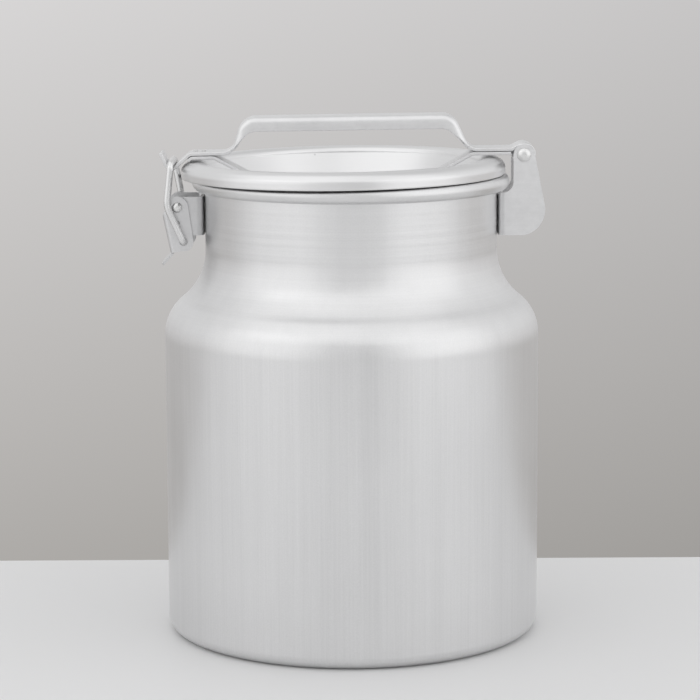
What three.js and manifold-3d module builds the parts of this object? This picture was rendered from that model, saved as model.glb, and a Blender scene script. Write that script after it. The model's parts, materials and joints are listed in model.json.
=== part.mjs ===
// A ten litre aluminium milk can with a hinged, clamped lid.
// Millimetres, +Z up. The origin is the centre of the underside, +X points at the hinge.
import * as THREE from 'three';
import { mergeVertices } from 'three/addons/utils/BufferGeometryUtils.js';
import Module from 'manifold-3d';

const wasm = await Module();
wasm.setup();

const DEG = Math.PI / 180;

// ---- fits ----
const GAP = 0.3;                // between pieces that touch
const RUNNING = 0.3;            // radial clearance of a hole round its pin
const HOLE_PLAY = 0.45;         // radial play of the bail wire in the lever

// ---- can ----
const BODY_R = 115;
const NECK_R = 89.3;
const CAN_WALL = 1.6;
const BASE_CORNER_R = 8;
const BODY_H = 184;             // straight body, up from the base
const SHOULDER_H = 53;          // from the body up to the straight neck
const NECK_H = 40.6;            // straight neck, up to the centre of the rolled rim
const SHOULDER_CORNER_R = 28;   // convex radius where the body turns in
const BEAD_TUBE_R = 4.65;       // the rolled rim

// ---- hinge and latch brackets ----
const PLATE = 2;                // bracket sheet
const BEAD_CLEAR = 1.75;        // bracket round the rolled rim
const HINGE_PIN_R = 3;
const PIN_HEAD_OVER = 1.2;      // pin head past the pin, all round
const PIN_HEAD = 2.3;           // height of the pin's heads
const SLEEVE_WALL = 1.6;        // sleeve on the hinge pin
const EAR_OVER = 3.45;          // ear past the hinge pin, all round
const EAR_SIDE_PLAY = 0.4;      // strap between the cheeks
const HINGE_BRACKET_DROP = 32.5; // lower edge below the centre of the rolled rim
const HINGE_FLARE = 13;         // how far the cheeks reach out past the pin at the bottom
const HINGE_FLARE_H = 16.5;     // height of the rounded lower corner
const HINGE_HEEL = 1.5;         // the corner's curve starts this far inside the pin
const BRACKET_TOP_DROP = 8;     // bracket web below the centre of the rolled rim
const LATCH_INNER_W = 24;       // between the cheeks of the latch bracket
const LATCH_BRACKET_DROP = 31.6;
const LATCH_NOSE = 2;           // latch cheek in front of the lever pin
const LATCH_NOSE_H = 11;        // height of its sloping lower corner
const LATCH_CORNER_R = 4.2;
const BRACKET_RIVETS_UP = [0.27, 0.75]; // share of the web's height
const BRACKET_RIVET_R = 2;
const BRACKET_RIVET_HEAD_R = 3.7;
const BRACKET_RIVET_HEAD = 1.7;
const INSIDE_HEAD = 1.1;

// ---- lid ----
const LID_SHIFT = 4.7;          // the lid sits this far towards the latch
const LID_TILT = 0.6 * DEG;     // and this much lower on the latch side
const LID_WALL = 1.6;
const LID_OVERHANG = 2;         // lid's rim past the rolled rim
const LID_RIM_H = 9.9;          // crown above the lower edge of the rim
const LID_CROWN_IN = 9.4;       // crown inside the rim's outer face
const LID_ROLL_OUT = 6.2;       // fall of the crown's outer roll
const LID_ROLL_IN = 4;          // and of its inner roll
const DISH_IN = 4.5;            // dish inside the neck, at its top
const DISH_TAPER = 7.2;         // and its floor this much smaller
const DISH_DEPTH = 22;
const DISH_CORNER_R = 7;
const SEAL_IN = 3.5;            // seal's inner edge outside the dish wall
const SEAL_EDGE = 1.4;          // and its outer edge inside the rim's wall
const SEAL_ROOF = 0.5;          // seal below the crown, beyond the gap
const SEAL_LIP = 3.2;           // width of the seal's sloping outer shoulder
const SEAL_LIP_FALL = 3.4;      // how far the shoulder falls at the edge
const SEAL_CAMBER = 0.7;        // fall of the seal's top on either side of the crown

// ---- straps on the lid ----
const STRAP = 2;                // strap thickness
const STRAP_W = 22;
const STRAP_RISE = 3.25;        // level part of the handle strap above the hinge pin
const BAR_OVER_CROWN = 1.386;   // cross bar above the lid's crown
const GRIP_W = 26;
const GRIP_RISE = 20.7;         // grip above the level part
const GRIP_LEFT_IN = 32.5;      // foot of the grip from the lid's rim, latch side
const GRIP_RIGHT_IN = 33.6;     // and from the hinge pin
const GRIP_LEFT_RUN = 5.6;      // how far the grip's slopes run in as they rise
const GRIP_RIGHT_RUN = 9.2;
const GRIP_BENDS = [9.5, 10.7, 10, 9]; // bend radii of the grip, from the latch side
const FLANGE_DEPTH = 8.4;
const FLANGE_CURVE = 7;         // the flange's end curves bend this far in
const FLANGE_RUN = 17;          // and meet its straight lower edge here
const HOOK_PLAY = 0.15;         // bail wire in the bottom of the hook, beyond the gap
const HOOK_BEND = 5;            // strap's bend down to the hook
const HOOK_SLOPE_X = 6;         // the strap starts down this far inside the lid's rim
const HOOK_LIP_H = 12;
const HOOK_LIP_LEAN = 5.2;
const HOOK_DROP = 11;
const HOOK_RUN = 12.7;
const BAR_IN = 20.5;            // cross bar leaves the level this far inside the lid's rim
const BAR_SLOPE_RUN = 42.5;     // and lands on the dish floor this much further in
const BAR_END_RUN = 2.2;        // its latch end runs this far down under the hook
const BAR_END_PLAY = 0.1;       // its hinge end clear of the curl, beyond the gap
const BAR_RIVET_X = 22;
const BAR_RIVET_R = 2.5;
const BAR_RIVET_HEAD_R = 4.6;
const BAR_RIVET_HEAD = 2;
const BAR_RIVET_TAIL = 1.6;
const STRAP_RIVET_R = 1.2;
const STRAP_RIVET_HEAD_R = 1.9;
const STRAP_RIVET_HEAD = 0.8;
const STRAP_RIVET_PITCH = 5;
const STRAP_RIVET_IN = 5.6;     // middle of the pair from the strap's bend down to the hook

// ---- latch lever and bail ----
const WIRE_R = 2.15;
const LEVER_PLATE = 1.5;
const LEVER_PIN_R = 2.2;
const LEVER_PIN_HEAD = 1.9;
const LEVER_HEAD_OVER = 0.9;    // lever pin's head past the pin, all round
const LEVER_EAR_OVER = 4.5;     // lever's rounded top past its pin
const LEVER_FOOT_OVER = 3.85;   // and its rounded foot past the bail wire
const LEVER_PIN_OUT = 16.3;     // lever pin outside the neck
const LEVER_PIN_DROP = 14.3;    // and below the centre of the rolled rim
const BAIL_HOLE = [3.7, -20.8]; // bail hole from the lever pin, X and Z
const LEVER_WEB = [[-8.8, -6.1], [-4.3, -28.2], [-11.1, -35.5]];
const LEVER_LIP_BEND = 1.5;
const LEVER_SPY_HOLE = [0.4, -9.3, 1.2];
const NEAR_BEND = [-6.2, 1.4];  // bends of the bail's legs from the lever pin
const FAR_BEND = [0.2, 7.5];
const BAIL_TIP_IN = 0.8;        // the wire's ends reach this far inside the bracket's face
const BAIL_BENDS = [2.6, 7, 4, 4, 7, 2.6];

// ---- facets ----
const AROUND = 48;
const PIN_SIDES = 16;
const WIRE_SIDES = 10;
const BAIL_STEPS = 76;
const DRILL_L = 12;              // length of a drilling tool, longer than any stack of sheet

// ---- places worked out from the sizes above ----
const neckZ = BODY_H + SHOULDER_H;
const beadZ = neckZ + NECK_H;
const beadR = NECK_R - CAN_WALL + BEAD_TUBE_R;
const beadTop = beadZ + BEAD_TUBE_R;
const earR = HINGE_PIN_R + EAR_OVER;
const pinX = beadR + BEAD_TUBE_R + BEAD_CLEAR + earR;
const hingeLow = beadZ - HINGE_BRACKET_DROP;
const latchLow = beadZ - LATCH_BRACKET_DROP;
const bracketTop = beadZ - BRACKET_TOP_DROP;
const webX = NECK_R + GAP;
const hingeInner = STRAP_W / 2 + EAR_SIDE_PLAY;
const hingeOuter = hingeInner + PLATE;
const latchInner = LATCH_INNER_W / 2;
const latchOuter = latchInner + PLATE;
const leverInner = latchOuter + GAP;
const leverOuter = leverInner + LEVER_PLATE;
const leverX = -(NECK_R + LEVER_PIN_OUT);
const leverZ = beadZ - LEVER_PIN_DROP;
const legY = leverOuter + GAP + WIRE_R;

// The lid is drawn level and turned by LID_TILT about the hinge pin, so its rim is drawn higher
// by what the turn lowers it at its nearest point to the hinge.
const rimR = beadR + BEAD_TUBE_R + LID_OVERHANG;
const dishTopR = NECK_R - CAN_WALL - DISH_IN;
const dishFloorR = dishTopR - DISH_TAPER;
const crownR = rimR - LID_CROWN_IN;
const rimZ = beadTop + GAP + (pinX - rimR + LID_SHIFT) * Math.sin(LID_TILT);
const crownZ = rimZ + LID_RIM_H;
const floorZ = crownZ - DISH_DEPTH;
const rimLeft = -(rimR + LID_SHIFT);
const barZ = crownZ + BAR_OVER_CROWN + STRAP / 2;
const strapZ = barZ + STRAP + GAP;
const pinZ = strapZ - STRAP_RISE;
const barFootZ = floorZ + STRAP / 2 + GAP;
const sleeveR = HINGE_PIN_R + RUNNING + SLEEVE_WALL;
const curlR = sleeveR + RUNNING + STRAP / 2;
const hookFillet = WIRE_R + GAP + STRAP / 2 + HOOK_PLAY;
const gripLeft = rimLeft + GRIP_LEFT_IN;
const gripRight = pinX - GRIP_RIGHT_IN;
const barShoulder = rimR - BAR_IN;
const barFoot = barShoulder - BAR_SLOPE_RUN;

// ---- solids ----
function solid(geometry) {
  const bare = geometry.clone();
  bare.deleteAttribute('normal');
  bare.deleteAttribute('uv');
  const merged = mergeVertices(bare, 1e-4);
  return new wasm.Manifold(new wasm.Mesh({
    numProp: 3,
    vertProperties: new Float32Array(merged.attributes.position.array),
    triVerts: new Uint32Array(merged.index.array),
  }));
}

function geometryOf(body) {
  const mesh = body.getMesh();
  const geometry = new THREE.BufferGeometry();
  geometry.setAttribute('position', new THREE.BufferAttribute(new Float32Array(mesh.vertProperties), 3));
  geometry.setIndex(new THREE.BufferAttribute(new Uint32Array(mesh.triVerts), 1));
  geometry.computeVertexNormals();
  return geometry;
}

function joined(first, ...others) {
  return others.reduce((sum, each) => sum.add(solid(each)), solid(first));
}

function cut(body, ...tools) {
  return tools.reduce((rest, each) => rest.subtract(solid(each)), body);
}

// ---- outlines in the XZ plane ----
function arc(cx, cz, r, from, to, steps) {
  const points = [];
  for (let i = 0; i <= steps; i += 1) {
    const a = (from + ((to - from) * i) / steps) * DEG;
    points.push([cx + r * Math.cos(a), cz + r * Math.sin(a)]);
  }
  return points;
}

function ellipse(cx, cz, rx, rz, from, to, steps) {
  return arc(0, 0, 1, from, to, steps).map(([x, z]) => [cx + rx * x, cz + rz * z]);
}

// Round each inner corner of a line of points; radii[i] belongs to points[i + 1].
function filleted(points, radii, stepDeg = 14) {
  const line = [points[0]];
  for (let i = 1; i < points.length - 1; i += 1) {
    const at = new THREE.Vector2(...points[i]);
    const back = new THREE.Vector2(...points[i - 1]).sub(at).normalize();
    const on = new THREE.Vector2(...points[i + 1]).sub(at).normalize();
    const half = Math.acos(THREE.MathUtils.clamp(back.dot(on), -1, 1)) / 2;
    const r = radii[i - 1];
    const centre = at.clone().addScaledVector(back.clone().add(on).normalize(), r / Math.sin(half));
    const start = at.clone().addScaledVector(back, r / Math.tan(half)).sub(centre);
    const turn = Math.PI - 2 * half;
    const sense = back.cross(on) > 0 ? -1 : 1;
    const steps = Math.max(1, Math.ceil(turn / (stepDeg * DEG)));
    for (let k = 0; k <= steps; k += 1) {
      const p = start.clone().rotateAround(new THREE.Vector2(), (sense * turn * k) / steps).add(centre);
      line.push([p.x, p.y]);
    }
  }
  line.push(points[points.length - 1]);
  return line;
}

// The closed outline of a strip of sheet whose middle runs along a line of points.
function strip(line, thickness) {
  const sides = [[], []];
  line.forEach((point, i) => {
    const at = new THREE.Vector2(...point);
    const before = new THREE.Vector2(...line[Math.max(i - 1, 0)]);
    const after = new THREE.Vector2(...line[Math.min(i + 1, line.length - 1)]);
    const a = at.clone().sub(before).normalize();
    const b = after.clone().sub(at).normalize();
    const along = a.add(b).normalize();
    const normal = new THREE.Vector2(-along.y, along.x);
    const edge = i === 0 ? b : at.clone().sub(before).normalize();
    const grow = thickness / 2 / Math.max(Math.abs(normal.dot(new THREE.Vector2(-edge.y, edge.x))), 0.5);
    sides[0].push(at.clone().addScaledVector(normal, grow).toArray());
    sides[1].push(at.clone().addScaledVector(normal, -grow).toArray());
  });
  return [...sides[0], ...sides[1].reverse()];
}

// Push an outline in the XZ plane along Y, from y0 to y1.
function plate(outline, y0, y1, holes = []) {
  const shape = new THREE.Shape(outline.map(([x, z]) => new THREE.Vector2(x, z)));
  holes.forEach(([x, z, r]) => {
    shape.holes.push(new THREE.Path().absarc(x, z, r, 0, Math.PI * 2, true));
  });
  const geometry = new THREE.ExtrudeGeometry(shape, {
    depth: y1 - y0,
    bevelEnabled: false,
    curveSegments: PIN_SIDES / 2,
  });
  geometry.rotateX(Math.PI / 2);
  return geometry.translate(0, y1, 0);
}

function block(x0, x1, y0, y1, z0, z1) {
  const geometry = new THREE.BoxGeometry(x1 - x0, y1 - y0, z1 - z0);
  return geometry.translate((x0 + x1) / 2, (y0 + y1) / 2, (z0 + z1) / 2);
}

// Spin an outline of radius and height about Z.
function turned(outline, sides = AROUND) {
  const geometry = new THREE.LatheGeometry(outline.map(([r, z]) => new THREE.Vector2(r, z)), sides);
  return geometry.rotateX(Math.PI / 2);
}

// A rivet or pin along Z: shank from 0 to length, with a domed head past each end that has one.
function rivet(shankR, length, headR, lowHead, highHead) {
  const low = lowHead > 0 ? ellipse(0, 0, headR, lowHead, -90, 0, 4) : [[0, 0]];
  const high = highHead > 0 ? ellipse(0, length, headR, highHead, 0, 90, 4) : [[0, length]];
  low[0][0] = 0;
  high[high.length - 1][0] = 0;
  return turned([...low, [shankR, 0], [shankR, length], ...high], PIN_SIDES);
}

function tube(outerR, innerR, y0, y1) {
  const length = y1 - y0;
  const outline = [[innerR, 0], [outerR, 0], [outerR, length], [innerR, length], [innerR, 0]];
  const ring = turned(outline, PIN_SIDES);
  return ring.rotateX(-Math.PI / 2).translate(0, y0, 0);
}

// A round tool for a hole of this radius, through a point, along one axis.
function drill(r, axis, x, z) {
  const geometry = new THREE.CylinderGeometry(r + RUNNING, r + RUNNING, DRILL_L, PIN_SIDES);
  if (axis === 'x') geometry.rotateZ(Math.PI / 2);
  if (axis === 'z') geometry.rotateX(Math.PI / 2);
  return geometry.translate(x, 0, z);
}

// ---- the can ----
function shoulderLine(inset) {
  const turn = 2 * Math.atan((BODY_R - NECK_R) / SHOULDER_H);
  const neckBendR = SHOULDER_H / Math.sin(turn) - SHOULDER_CORNER_R;
  const up = turn / DEG;
  const convex = arc(BODY_R - SHOULDER_CORNER_R, BODY_H, SHOULDER_CORNER_R - inset, 0, up, 5);
  const concave = arc(NECK_R + neckBendR, neckZ, neckBendR + inset, 180 + up, 180, 5);
  return [...convex, ...concave];
}

function canBody() {
  const cornerR = BODY_R - BASE_CORNER_R;
  const rollStart = -Math.acos((NECK_R - beadR) / BEAD_TUBE_R) / DEG;
  const outside = [
    [0, 0],
    ...arc(cornerR, BASE_CORNER_R, BASE_CORNER_R, -90, 0, 4),
    ...shoulderLine(0),
    ...arc(beadR, beadZ, BEAD_TUBE_R, rollStart, 180, 11),
  ];
  const inside = [
    [NECK_R - CAN_WALL, neckZ],
    ...shoulderLine(CAN_WALL).reverse().slice(1),
    ...arc(cornerR, BASE_CORNER_R, BASE_CORNER_R - CAN_WALL, 0, -90, 3),
    [0, CAN_WALL],
  ];
  const holes = bracketRivetPlaces().map(({ side, z }) => drill(BRACKET_RIVET_R, 'x', side * NECK_R, z));
  return cut(solid(turned([...outside, ...inside])), ...holes);
}

// ---- brackets ----
function rivetHeights(low) {
  return BRACKET_RIVETS_UP.map((share) => low + share * (bracketTop - low));
}

function bracketRivetPlaces() {
  const brackets = [
    { side: 1, low: hingeLow, name: 'hinge_bracket_rivet' },
    { side: -1, low: latchLow, name: 'latch_bracket_rivet' },
  ];
  return brackets.flatMap(({ side, low, name }) => {
    const [lower, upper] = rivetHeights(low);
    return [{ side, z: lower, name: `${name}_lower` }, { side, z: upper, name: `${name}_upper` }];
  });
}

function bracketRivet() {
  const wallIn = NECK_R - CAN_WALL;
  const inner = Math.sqrt(wallIn ** 2 - BRACKET_RIVET_HEAD_R ** 2) - GAP;
  const length = webX + PLATE + GAP - inner;
  const geometry = rivet(BRACKET_RIVET_R, length, BRACKET_RIVET_HEAD_R, INSIDE_HEAD, BRACKET_RIVET_HEAD);
  return geometry.rotateY(Math.PI / 2).translate(inner, 0, 0);
}

// A channel of sheet on the +X side of the neck: a web with two rivet holes, and two cheeks.
function bracket(cheek, holes, low, inner) {
  const outer = inner + PLATE;
  const body = joined(
    block(webX, webX + PLATE, -outer, outer, low, bracketTop),
    plate(cheek, -outer, -inner, holes),
    plate(cheek, inner, outer, holes),
  );
  return cut(body, ...rivetHeights(low).map((z) => drill(BRACKET_RIVET_R, 'x', webX, z)));
}

function hingeBracket() {
  const heelX = pinX - HINGE_HEEL;
  const cheek = [
    [webX, hingeLow],
    [heelX, hingeLow],
    ...ellipse(heelX, hingeLow + HINGE_FLARE_H, HINGE_FLARE + HINGE_HEEL, HINGE_FLARE_H, -75, 0, 5),
    ...arc(pinX, pinZ, earR, 10, 180, 9),
    ...arc(beadR, beadZ, BEAD_TUBE_R + BEAD_CLEAR, 0, -112, 7),
    [webX, bracketTop],
  ];
  return bracket(cheek, [[pinX, pinZ, HINGE_PIN_R + RUNNING]], hingeLow, hingeInner);
}

function latchBracket() {
  const out = -leverX;
  const cheek = [
    [webX, latchLow],
    [out - LATCH_NOSE, latchLow],
    [out + LATCH_NOSE, latchLow + LATCH_NOSE_H],
    ...arc(out, bracketTop - LATCH_CORNER_R, LATCH_CORNER_R, 0, 90, 4),
    [webX, bracketTop],
  ];
  return bracket(cheek, [[out, leverZ, LEVER_PIN_R + RUNNING]], latchLow, latchInner).rotate([0, 0, 180]);
}

function hingePin() {
  const half = hingeOuter + GAP;
  const geometry = rivet(HINGE_PIN_R, 2 * half, HINGE_PIN_R + PIN_HEAD_OVER, PIN_HEAD, PIN_HEAD);
  return geometry.rotateX(-Math.PI / 2).translate(pinX, -half, pinZ);
}

function hingeSleeve() {
  const half = hingeInner - GAP;
  return tube(sleeveR, HINGE_PIN_R + RUNNING, -half, half).translate(pinX, 0, pinZ);
}

// ---- the lid ----
function lidShell() {
  const inwards = crownR - dishTopR;
  const cornerR = dishFloorR - DISH_CORNER_R;
  const cornerZ = floorZ + DISH_CORNER_R;
  const inZ = crownZ - LID_ROLL_IN;
  const outZ = crownZ - LID_ROLL_OUT;
  const top = [
    [0, floorZ],
    ...arc(cornerR, cornerZ, DISH_CORNER_R, -90, -18, 4),
    ...ellipse(crownR, inZ, inwards, LID_ROLL_IN, 180, 90, 4),
    ...ellipse(crownR, outZ, LID_CROWN_IN, LID_ROLL_OUT, 90, 0, 6).slice(1),
    [rimR, rimZ],
  ];
  const under = [
    [rimR - LID_WALL, rimZ],
    ...ellipse(crownR, outZ, LID_CROWN_IN - LID_WALL, LID_ROLL_OUT - LID_WALL, 0, 90, 6),
    ...ellipse(crownR, inZ, inwards - LID_WALL, LID_ROLL_IN - LID_WALL, 90, 180, 4).slice(1),
    ...arc(cornerR, cornerZ, DISH_CORNER_R + LID_WALL, -18, -90, 4),
    [0, floorZ - LID_WALL],
  ];
  const outline = [...under.reverse(), ...top.reverse()];
  return cut(solid(turned(outline)), ...barRivetXs().map((x) => drill(BAR_RIVET_R, 'z', x, floorZ)));
}

function barRivetXs() {
  return [-BAR_RIVET_X, BAR_RIVET_X];
}

// The rubber seal fills the crown. It is pressed flat on the rolled rim, so its lower face is level
// in the closed can and wedge shaped in the lid.
function lidSeal() {
  const innerR = dishTopR + SEAL_IN;
  const outerR = rimR - LID_WALL - SEAL_EDGE;
  const roof = crownZ - LID_WALL - GAP - SEAL_ROOF;
  const low = rimZ - LID_RIM_H;
  const outline = [[innerR, low], [outerR, low], [outerR, roof - SEAL_LIP_FALL],
    [crownR + SEAL_LIP, roof - SEAL_CAMBER], [crownR, roof], [innerR, roof - SEAL_CAMBER], [innerR, low]];
  const size = 4 * rimR;
  const below = new THREE.BoxGeometry(size, size, size).translate(LID_SHIFT - pinX, 0, -size / 2);
  below.rotateY(LID_TILT).translate(LID_SHIFT + pinX, 0, beadTop + GAP);
  return solid(turned(outline)).subtract(solid(below));
}

// ---- straps ----
function hookPoints() {
  const slope = [rimLeft + HOOK_SLOPE_X, strapZ];
  const valley = [slope[0] - HOOK_RUN, strapZ - HOOK_DROP];
  const lip = [valley[0] - HOOK_LIP_LEAN, valley[1] + HOOK_LIP_H];
  return { lip, valley, slope };
}

// The strap from the hook's lip, over the grip, to the curl that wraps the sleeve.
function handleLine() {
  const { lip, valley, slope } = hookPoints();
  const top = strapZ + GRIP_RISE;
  const curlStart = 120;
  const curlRise = 30 * DEG;
  const meet = [pinX + curlR * Math.cos(curlStart * DEG), pinZ + curlR * Math.sin(curlStart * DEG)];
  const foot = [meet[0] - (meet[1] - strapZ) / Math.tan(curlRise), strapZ];
  const points = [lip, valley, slope, [gripLeft, strapZ], [gripLeft + GRIP_LEFT_RUN, top],
    [gripRight - GRIP_RIGHT_RUN, top], [gripRight, strapZ], foot, meet];
  const line = filleted(points, [hookFillet, HOOK_BEND, ...GRIP_BENDS, 4]);
  return [...line, ...arc(pinX, pinZ, curlR, curlStart, -170, 18).slice(1)];
}

function handleStrap() {
  const line = handleLine();
  const footRise = 1;
  const grip = line.filter(([x, z]) => z > strapZ + footRise && x > gripLeft && x < gripRight);
  const bottom = strapZ + GRIP_RISE - FLANGE_DEPTH;
  const left = grip[0];
  const right = grip[grip.length - 1];
  const bend = (...points) => new THREE.QuadraticBezierCurve(...points.map((p) => new THREE.Vector2(...p)));
  const ends = [
    bend(right, [right[0] - FLANGE_CURVE, bottom], [right[0] - FLANGE_RUN, bottom]),
    bend([left[0] + FLANGE_RUN, bottom], [left[0] + FLANGE_CURVE, bottom], left),
  ];
  const lower = ends.flatMap((curve) => curve.getPoints(5).map((p) => [p.x, p.y]));
  const flange = [...grip, ...lower.slice(1, -1)];
  const w = GRIP_W / 2;
  const body = joined(
    plate(strip(line, STRAP), -STRAP_W / 2, STRAP_W / 2),
    plate(strip(grip, STRAP), -w, w),
    plate(flange, -w, -w + STRAP),
    plate(flange, w - STRAP, w),
  );
  return cut(body, ...strapRivetXs().map((x) => drill(STRAP_RIVET_R, 'z', x, barZ)));
}

function crossBar() {
  const { slope } = hookPoints();
  const fall = HOOK_DROP / HOOK_RUN;
  const start = [slope[0] + (STRAP + GAP) * Math.tan(Math.atan(fall) / 2), barZ];
  const end = [start[0] - BAR_END_RUN, barZ - BAR_END_RUN * fall];
  const right = pinX - curlR - STRAP / 2 - GAP - BAR_END_PLAY;
  const points = [end, start, [-LID_SHIFT - barShoulder, barZ], [-LID_SHIFT - barFoot, barFootZ],
    [-LID_SHIFT + barFoot, barFootZ], [-LID_SHIFT + barShoulder, barZ], [right, barZ]];
  const line = filleted(points, [HOOK_BEND - STRAP, 6, 6, 6, 6]);
  const holes = strapRivetXs().map((x) => drill(STRAP_RIVET_R, 'z', x, barZ));
  const footHoles = barRivetXs().map((x) => drill(BAR_RIVET_R, 'z', x - LID_SHIFT, barFootZ));
  return cut(solid(plate(strip(line, STRAP), -STRAP_W / 2, STRAP_W / 2)), ...holes, ...footHoles);
}

function strapRivetXs() {
  const middle = hookPoints().slope[0] + STRAP_RIVET_IN;
  return [middle - STRAP_RIVET_PITCH / 2, middle + STRAP_RIVET_PITCH / 2];
}

function strapRivet() {
  const low = barZ - STRAP / 2 - GAP;
  const length = strapZ + STRAP / 2 + GAP - low;
  const geometry = rivet(STRAP_RIVET_R, length, STRAP_RIVET_HEAD_R, STRAP_RIVET_HEAD, STRAP_RIVET_HEAD);
  return geometry.translate(0, 0, low);
}

function barRivet() {
  const low = floorZ - LID_WALL - GAP;
  const length = barFootZ + STRAP / 2 + GAP - low;
  return rivet(BAR_RIVET_R, length, BAR_RIVET_HEAD_R, BAR_RIVET_TAIL, BAR_RIVET_HEAD).translate(0, 0, low);
}

// ---- the latch lever ----
function leverAt([x, z]) {
  return [leverX + x, leverZ + z];
}

function latchLever() {
  const [webTop, webBottom, lip] = LEVER_WEB.map(leverAt);
  const hole = leverAt(BAIL_HOLE);
  const cheek = [
    webBottom,
    ...arc(hole[0], hole[1], WIRE_R + LEVER_FOOT_OVER, -100, 0, 5),
    ...arc(leverX, leverZ, LEVER_PIN_R + LEVER_EAR_OVER, 8, 184, 9),
    webTop,
  ];
  const [spyX, spyZ, spyR] = LEVER_SPY_HOLE;
  const holes = [
    [leverX, leverZ, LEVER_PIN_R + RUNNING],
    [...hole, WIRE_R + HOLE_PLAY],
    [leverX + spyX, leverZ + spyZ, spyR],
  ];
  const front = strip(filleted([webTop, webBottom, lip], [LEVER_LIP_BEND]), LEVER_PLATE);
  const down = new THREE.Vector2(webBottom[0] - webTop[0], webBottom[1] - webTop[1]).normalize();
  const inwards = new THREE.Vector2(-down.y, down.x).multiplyScalar(LEVER_PLATE / 2);
  const panel = plate(front.map(([x, z]) => [x + inwards.x, z + inwards.y]), -leverOuter, leverOuter);
  return joined(
    panel,
    plate(cheek, -leverOuter, -leverInner, holes),
    plate(cheek, leverInner, leverOuter, holes),
  );
}

function leverPin() {
  const near = leverOuter + GAP;
  const geometry = rivet(LEVER_PIN_R, near + leverOuter, LEVER_PIN_R + LEVER_HEAD_OVER, LEVER_PIN_HEAD, 0);
  return geometry.rotateX(-Math.PI / 2).translate(leverX, -near, leverZ);
}

// ---- the bail ----
// The cross wire lies in the hook of the closed lid, so its place is the hook's fillet centre
// turned with the lid.
function hookSeat() {
  const { lip, valley, slope } = hookPoints();
  const at = new THREE.Vector2(...valley);
  const a = new THREE.Vector2(...lip).sub(at).normalize();
  const b = new THREE.Vector2(...slope).sub(at).normalize();
  const half = Math.acos(a.dot(b)) / 2;
  at.addScaledVector(a.add(b).normalize(), hookFillet / Math.sin(half));
  const rest = new THREE.Vector3(at.x - pinX, 0, at.y - pinZ);
  rest.applyAxisAngle(new THREE.Vector3(0, 1, 0), -LID_TILT);
  return [rest.x + pinX, rest.z + pinZ];
}

function bail() {
  const [topX, topZ] = hookSeat();
  const [holeX, holeZ] = leverAt(BAIL_HOLE);
  const [nearX, nearZ] = leverAt(NEAR_BEND);
  const [farX, farZ] = leverAt(FAR_BEND);
  const tipY = latchOuter - BAIL_TIP_IN;
  const corners = [
    [holeX, -tipY, holeZ], [holeX, -legY, holeZ], [nearX, -legY, nearZ], [topX, -legY, topZ],
    [topX, legY, topZ], [farX, legY, farZ], [holeX, legY, holeZ], [holeX, tipY, holeZ],
  ].map((p) => new THREE.Vector3(...p));
  const path = new THREE.CurvePath();
  let from = corners[0];
  corners.slice(1, -1).forEach((corner, i) => {
    const back = corners[i].clone().sub(corner).normalize();
    const on = corners[i + 2].clone().sub(corner).normalize();
    const half = back.angleTo(on) / 2;
    const reach = Math.min(BAIL_BENDS[i] / Math.tan(half), BAIL_BENDS[i]);
    const start = corner.clone().addScaledVector(back, reach);
    const end = corner.clone().addScaledVector(on, reach);
    path.add(new THREE.LineCurve3(from, start));
    path.add(new THREE.QuadraticBezierCurve3(start, corner, end));
    from = end;
  });
  path.add(new THREE.LineCurve3(from, corners[corners.length - 1]));
  const round = new THREE.Shape().absarc(0, 0, WIRE_R, 0, Math.PI * 2);
  return new THREE.ExtrudeGeometry(round, {
    steps: BAIL_STEPS,
    extrudePath: path,
    curveSegments: WIRE_SIDES / 2,
    bevelEnabled: false,
  });
}

// ---- materials ----
const finishes = {
  spun: { color: 0xc9cacb, roughness: 0.34, metalness: 1 },
  sheet: { color: 0xbfc0c2, roughness: 0.38, metalness: 1 },
  wire: { color: 0xd0d0cf, roughness: 0.25, metalness: 1 },
  rivet: { color: 0xd6d5d2, roughness: 0.3, metalness: 1 },
  rubber: { color: 0x2b2b2c, roughness: 0.75, metalness: 0 },
};

function named(name, shape, finish) {
  const geometry = shape instanceof wasm.Manifold ? geometryOf(shape) : geometryOf(solid(shape));
  const mesh = new THREE.Mesh(geometry, new THREE.MeshStandardMaterial(finishes[finish]));
  mesh.name = name;
  return mesh;
}

// ---- the assembly ----
const can = new THREE.Group();
can.add(named('can_body', canBody(), 'spun'));
can.add(named('hinge_bracket', hingeBracket(), 'sheet'));
can.add(named('hinge_pin', hingePin(), 'rivet'));
can.add(named('hinge_sleeve', hingeSleeve(), 'sheet'));
can.add(named('latch_bracket', latchBracket(), 'sheet'));
can.add(named('lever_pin', leverPin(), 'rivet'));
bracketRivetPlaces().forEach(({ side, z, name }) => {
  const mesh = named(name, bracketRivet(), 'rivet');
  mesh.rotation.z = side > 0 ? 0 : Math.PI;
  mesh.position.z = z;
  can.add(mesh);
});

const lever = new THREE.Group();
lever.add(named('latch_lever', latchLever(), 'sheet'));
lever.add(named('bail', bail(), 'wire'));

const lid = new THREE.Group();
const lidFrame = new THREE.Group();
lid.position.set(pinX, 0, pinZ);
lid.rotation.y = -LID_TILT;
lidFrame.position.set(-pinX, 0, -pinZ);
lid.add(lidFrame);

const lidRound = new THREE.Group();
lidRound.position.x = -LID_SHIFT;
lidRound.add(named('lid_shell', lidShell(), 'spun'));
lidRound.add(named('lid_seal', lidSeal(), 'rubber'));
lidFrame.add(lidRound);
lidFrame.add(named('handle_strap', handleStrap(), 'sheet'));
lidFrame.add(named('cross_bar', crossBar(), 'sheet'));
strapRivetXs().forEach((x, i) => {
  const mesh = named(`strap_rivet_${i + 1}`, strapRivet(), 'rivet');
  mesh.position.x = x;
  lidFrame.add(mesh);
});
barRivetXs().forEach((x, i) => {
  const mesh = named(`cross_bar_rivet_${i + 1}`, barRivet(), 'rivet');
  mesh.position.x = x - LID_SHIFT;
  lidFrame.add(mesh);
});

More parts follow.
